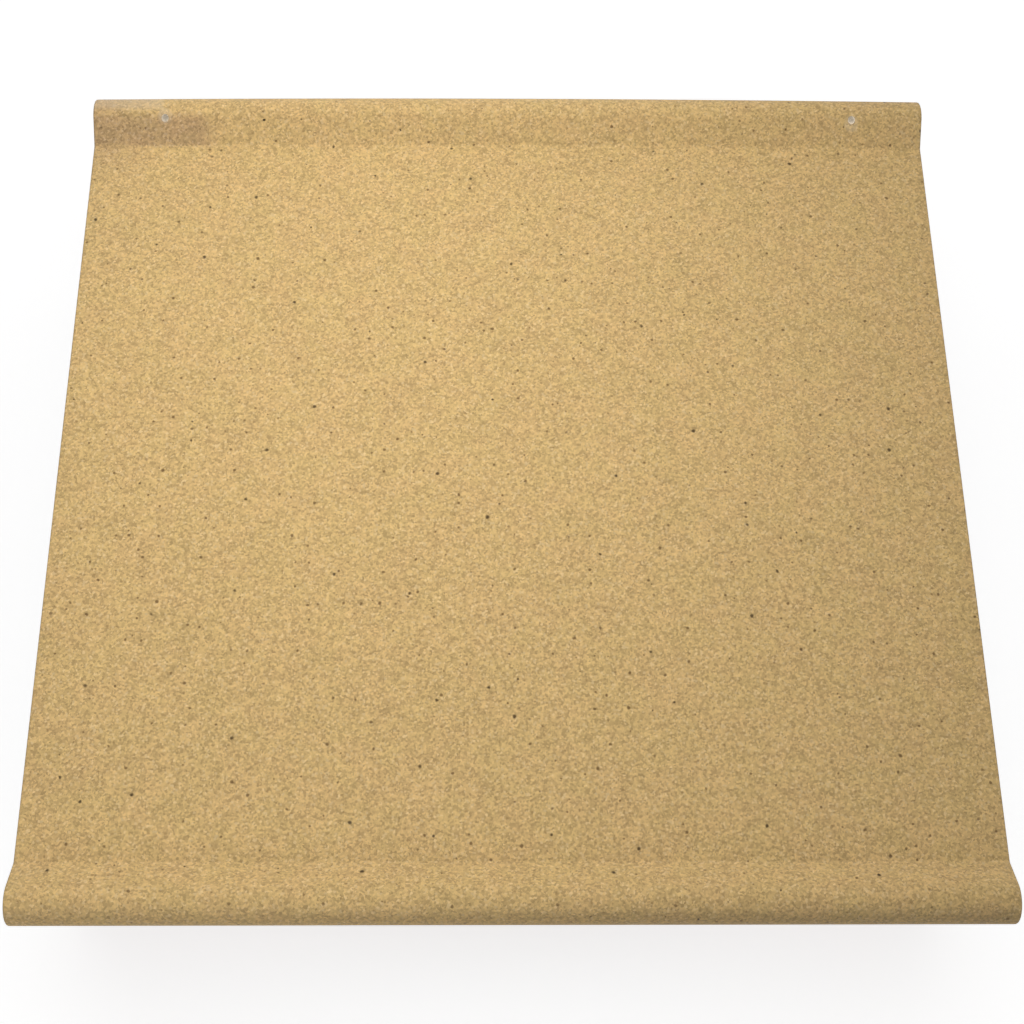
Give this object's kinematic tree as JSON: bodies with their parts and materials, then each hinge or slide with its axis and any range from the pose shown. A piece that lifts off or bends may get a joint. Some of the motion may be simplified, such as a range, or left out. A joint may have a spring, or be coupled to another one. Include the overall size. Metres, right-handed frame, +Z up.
{
  "type": "sanding block",
  "caption": "Square hand sanding block: speckled cork palm cover with two rolled finger lips, over a moulded body, foam pad and wrapped abrasive sheet held by sprung end clamps.",
  "frame": {"origin": "middle of the grit face, which is the lowest face", "axes": "+X along the finger lips, +Y from the front lip to the rear lip, +Z up from the grit face to the palm cover"},
  "size_m": [0.115, 0.115, 0.0352],
  "materials": {
    "cork": "pressed fine-grain cork composition, tan with dark bark specks, lightly sealed to a satin",
    "body_plastic": "black moulded plastic, fine spark-eroded texture",
    "sole_aluminium": "mill-finished plate with sawn edges",
    "pad_foam": "closed-cell foam, fine open pores on its cut sides",
    "abrasive": "red-brown mineral grit outside on a tan paper backing",
    "clamp_steel": "zinc-plated spring steel, faint rolling grain",
    "bright_steel": "bright drawn steel",
    "insert_brass": "turned brass",
    "grip_rubber": "matt black rubber"
  },
  "bodies": {
    "block": {"palm_cover": "cork", "body": "body_plastic", "sole_plate": "sole_aluminium", "foam_pad": "pad_foam", "abrasive_sheet": "abrasive", "lip_pin_1": "bright_steel", "lip_pin_2": "bright_steel", "sole_screw_1": "bright_steel", "sole_screw_2": "bright_steel", "sole_screw_3": "bright_steel", "sole_screw_4": "bright_steel", "thread_insert_1": "insert_brass", "thread_insert_2": "insert_brass", "thread_insert_3": "insert_brass", "thread_insert_4": "insert_brass", "pivot_pin_front": "bright_steel", "pin_cap_front": "bright_steel", "pivot_pin_rear": "bright_steel", "pin_cap_rear": "bright_steel"},
    "front_clamp": {"clamp_bar_front": "clamp_steel", "clamp_grip_pad_front": "grip_rubber", "torsion_spring_front_1": "clamp_steel", "torsion_spring_front_2": "clamp_steel"},
    "rear_clamp": {"clamp_bar_rear": "clamp_steel", "clamp_grip_pad_rear": "grip_rubber", "torsion_spring_rear_1": "clamp_steel", "torsion_spring_rear_2": "clamp_steel"}
  },
  "joints": [
    {"name": "front_clamp_hinge", "type": "hinge", "parent": "block", "child": "front_clamp", "pos_m": [0, -0.0513, 0.0235], "axis": [-1, 0, 0], "range_deg": [0, 50], "stiffness_Nm_per_rad": 0.06, "springref_deg": -74.48, "deforming": ["torsion_spring_front_1", "torsion_spring_front_2"]},
    {"name": "rear_clamp_hinge", "type": "hinge", "parent": "block", "child": "rear_clamp", "pos_m": [0, 0.0513, 0.0235], "axis": [1, 0, 0], "range_deg": [0, 50], "stiffness_Nm_per_rad": 0.06, "springref_deg": -74.48, "deforming": ["torsion_spring_rear_1", "torsion_spring_rear_2"]}
  ]
}
